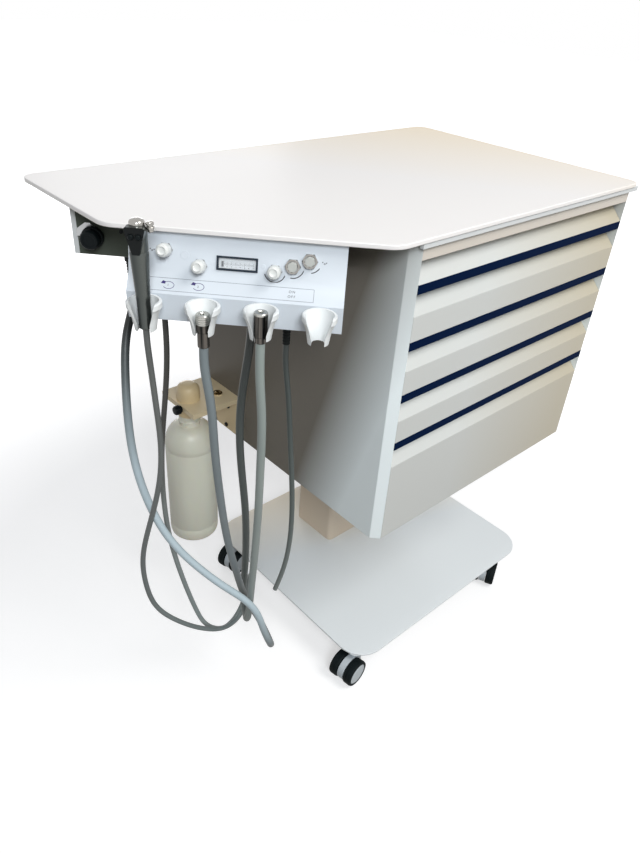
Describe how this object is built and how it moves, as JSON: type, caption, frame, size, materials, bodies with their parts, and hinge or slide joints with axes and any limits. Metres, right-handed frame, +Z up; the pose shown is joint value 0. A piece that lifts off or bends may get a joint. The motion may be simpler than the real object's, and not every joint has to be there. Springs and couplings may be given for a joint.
{
  "type": "portable dental unit",
  "caption": "Drawer cabinet on a column and castered base, with a cut-corner worktop, control panel, hanging instruments, hoses and a water bottle.",
  "frame": {"origin": "on the floor, under the middle of the unit's box without its hoses", "axes": "+Z up, +X along the drawer fronts to the right, +Y to the back; the drawers open towards -Y"},
  "size_m": [0.7987, 0.457, 0.8511],
  "materials": {
    "worktop_white": "satin",
    "white_paint": "satin",
    "panel": "satin",
    "rail_beige": "satin",
    "front_paint": "satin",
    "navy_trim": "satin",
    "zinc": "zinc plated",
    "cream_paint": "satin",
    "grey_plastic": "moulded",
    "tyre": "rubber",
    "dark_plate": "matt",
    "black_plastic": "moulded",
    "gauge_frame": "moulded",
    "knob_white": "moulded",
    "chrome": "polished",
    "holder_white": "moulded",
    "syringe_grey": "anodised",
    "gland_black": "matt",
    "hose_grey": "satin",
    "bottle_natural": "blown",
    "cap_cream": "moulded"
  },
  "bodies": {
    "cabinet": {"worktop": "worktop_white", "top_frame": "white_paint", "top_rail": "rail_beige", "side_left": "white_paint", "side_right": "white_paint", "back_and_floor": "white_paint", "runners": "zinc", "column": "cream_paint", "base_plate": "cream_paint", "control_housing": "white_paint", "control_panel": "panel", "side_plate": "dark_plate", "side_bracket": "zinc", "gauge": "gauge_frame", "bezels": "chrome", "holders": "holder_white", "syringe": "syringe_grey", "nozzle": "chrome", "connector_1": "chrome", "connector_2": "chrome", "glands": "gland_black", "hose_1": "hose_grey", "hose_2": "hose_grey", "hose_3": "hose_grey", "hose_4": "hose_grey", "bottle_cap": "cap_cream", "bottle_bracket": "cream_paint"},
    "drawer_1": {"tray_1": "white_paint", "front_1": "front_paint", "strip_1": "navy_trim"},
    "drawer_2": {"tray_2": "white_paint", "front_2": "front_paint", "strip_2": "navy_trim"},
    "drawer_3": {"tray_3": "white_paint", "front_3": "front_paint", "strip_3": "navy_trim"},
    "drawer_4": {"tray_4": "white_paint", "front_4": "front_paint", "strip_4": "navy_trim"},
    "drawer_5": {"tray_5": "white_paint", "front_5": "front_paint"},
    "caster_1": {"caster_1": "grey_plastic"},
    "wheels_1": {"wheels_1": "tyre"},
    "caster_2": {"caster_2": "grey_plastic"},
    "wheels_2": {"wheels_2": "tyre"},
    "caster_3": {"caster_3": "grey_plastic"},
    "wheels_3": {"wheels_3": "tyre"},
    "caster_4": {"caster_4": "grey_plastic"},
    "wheels_4": {"wheels_4": "tyre"},
    "valve_knob_1": {"valve_knob_1": "knob_white"},
    "valve_knob_2": {"valve_knob_2": "knob_white"},
    "valve_knob_3": {"valve_knob_3": "knob_white"},
    "regulator_knob_1": {"regulator_knob_1": "knob_white"},
    "regulator_knob_2": {"regulator_knob_2": "knob_white"},
    "pressure_knob": {"pressure_knob": "black_plastic"},
    "gauge_pointer": {"gauge_pointer": "black_plastic"},
    "syringe_button_1": {"syringe_button_1": "black_plastic"},
    "syringe_button_2": {"syringe_button_2": "black_plastic"},
    "bottle": {"bottle": "bottle_natural"},
    "bracket_knob": {"bracket_knob": "black_plastic"}
  },
  "joints": [
    {"name": "drawer_1_slide", "type": "slide", "parent": "cabinet", "child": "drawer_1", "axis": [0, -1, 0], "range_m": [0, 0.3]},
    {"name": "drawer_2_slide", "type": "slide", "parent": "cabinet", "child": "drawer_2", "axis": [0, -1, 0], "range_m": [0, 0.3]},
    {"name": "drawer_3_slide", "type": "slide", "parent": "cabinet", "child": "drawer_3", "axis": [0, -1, 0], "range_m": [0, 0.3]},
    {"name": "drawer_4_slide", "type": "slide", "parent": "cabinet", "child": "drawer_4", "axis": [0, -1, 0], "range_m": [0, 0.3]},
    {"name": "drawer_5_slide", "type": "slide", "parent": "cabinet", "child": "drawer_5", "axis": [0, -1, 0], "range_m": [0, 0.3]},
    {"name": "caster_1_swivel", "type": "hinge", "parent": "cabinet", "child": "caster_1", "pos_m": [-0.0825, -0.1865, 0.062], "axis": [0, 0, 1], "continuous": true},
    {"name": "wheels_1_roll", "type": "hinge", "parent": "caster_1", "child": "wheels_1", "pos_m": [-0.1023, -0.18928, 0.025], "axis": [0.1392, -0.9903, 0], "continuous": true},
    {"name": "caster_2_swivel", "type": "hinge", "parent": "cabinet", "child": "caster_2", "pos_m": [0.3135, -0.1865, 0.062], "axis": [0, 0, 1], "continuous": true},
    {"name": "wheels_2_roll", "type": "hinge", "parent": "caster_2", "child": "wheels_2", "pos_m": [0.29552, -0.19527, 0.025], "axis": [0.4384, -0.8988, 0], "continuous": true},
    {"name": "caster_3_swivel", "type": "hinge", "parent": "cabinet", "child": "caster_3", "pos_m": [0.3135, 0.1655, 0.062], "axis": [0, 0, 1], "continuous": true},
    {"name": "wheels_3_roll", "type": "hinge", "parent": "caster_3", "child": "wheels_3", "pos_m": [0.29537, 0.15705, 0.025], "axis": [0.4226, -0.9063, 0], "continuous": true},
    {"name": "caster_4_swivel", "type": "hinge", "parent": "cabinet", "child": "caster_4", "pos_m": [-0.0825, 0.1655, 0.062], "axis": [0, 0, 1], "continuous": true},
    {"name": "wheels_4_roll", "type": "hinge", "parent": "caster_4", "child": "wheels_4", "pos_m": [-0.10206, 0.16134, 0.025], "axis": [0.2079, -0.9781, 0], "continuous": true},
    {"name": "valve_knob_1_turn", "type": "hinge", "parent": "cabinet", "child": "valve_knob_1", "pos_m": [-0.33515, -0.03991, 0.80253], "axis": [-0.6806, -0.6806, 0.2715], "range_deg": [0, 1080]},
    {"name": "valve_knob_2_turn", "type": "hinge", "parent": "cabinet", "child": "valve_knob_2", "pos_m": [-0.3101, -0.07072, 0.78809], "axis": [-0.6806, -0.6806, 0.2715], "range_deg": [0, 1080]},
    {"name": "valve_knob_3_turn", "type": "hinge", "parent": "cabinet", "child": "valve_knob_3", "pos_m": [-0.24989, -0.13073, 0.78857], "axis": [-0.6806, -0.6806, 0.2715], "range_deg": [0, 270]},
    {"name": "regulator_knob_1_turn", "type": "hinge", "parent": "cabinet", "child": "regulator_knob_1", "pos_m": [-0.23437, -0.14349, 0.7955], "axis": [-0.6806, -0.6806, 0.2715], "range_deg": [0, 270]},
    {"name": "regulator_knob_2_turn", "type": "hinge", "parent": "cabinet", "child": "regulator_knob_2", "pos_m": [-0.21953, -0.15553, 0.80253], "axis": [-0.6806, -0.6806, 0.2715], "range_deg": [0, 270]},
    {"name": "pressure_knob_turn", "type": "hinge", "parent": "cabinet", "child": "pressure_knob", "pos_m": [-0.35791, 0.09005, 0.785], "axis": [-0.7071, -0.7071, 0], "range_deg": [0, 720]},
    {"name": "gauge_pointer_slide", "type": "slide", "parent": "cabinet", "child": "gauge_pointer", "axis": [0.7071, -0.7071, 0], "range_m": [0, 0.034]},
    {"name": "syringe_button_1_press", "type": "slide", "parent": "cabinet", "child": "syringe_button_1", "axis": [0.707, 0.707, 0.0175], "range_m": [0, 0.002], "stiffness_N_per_m": 900, "springref_m": -0.001},
    {"name": "syringe_button_2_press", "type": "slide", "parent": "cabinet", "child": "syringe_button_2", "axis": [0.707, 0.707, 0.0175], "range_m": [0, 0.002], "stiffness_N_per_m": 900, "springref_m": -0.001},
    {"name": "bottle_release", "type": "slide", "parent": "cabinet", "child": "bottle", "axis": [0, 0, -1], "range_m": [0, 0.1]},
    {"name": "bracket_knob_turn", "type": "hinge", "parent": "cabinet", "child": "bracket_knob", "pos_m": [-0.2095, 0.1585, 0.4405], "axis": [-1, 0, 0], "range_deg": [0, 360]}
  ]
}
